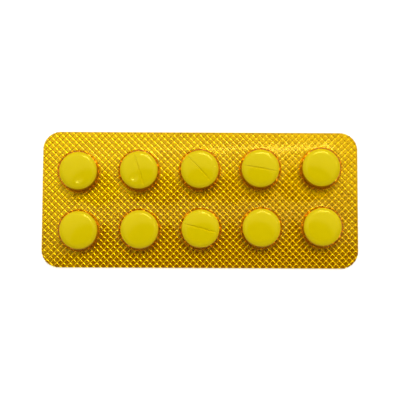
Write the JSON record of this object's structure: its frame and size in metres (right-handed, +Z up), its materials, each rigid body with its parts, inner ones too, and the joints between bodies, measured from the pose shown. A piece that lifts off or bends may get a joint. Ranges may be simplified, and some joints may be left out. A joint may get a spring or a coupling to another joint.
{
  "type": "blister strip of tablets",
  "caption": "Blister strip of round yellow tablets under a tinted clear film with a knurled foil back.",
  "frame": {"origin": "middle of the foil's underside, on which the strip lies", "axes": "+X along the strip, +Y across it, +Z up out of the pockets"},
  "size_m": [0.08, 0.0346, 0.0048],
  "materials": {
    "film": "glossy tinted clear film",
    "foil": "bright rolled foil with a fine diamond knurl",
    "tablet": "matte pressed powder"
  },
  "bodies": {
    "root": {"blister_film": "film", "lidding_foil": "foil", "tablet_a1": "tablet", "tablet_a2": "tablet", "tablet_a3": "tablet", "tablet_a4": "tablet", "tablet_a5": "tablet", "tablet_b1": "tablet", "tablet_b2": "tablet", "tablet_b3": "tablet", "tablet_b4": "tablet", "tablet_b5": "tablet"}
  },
  "joints": []
}
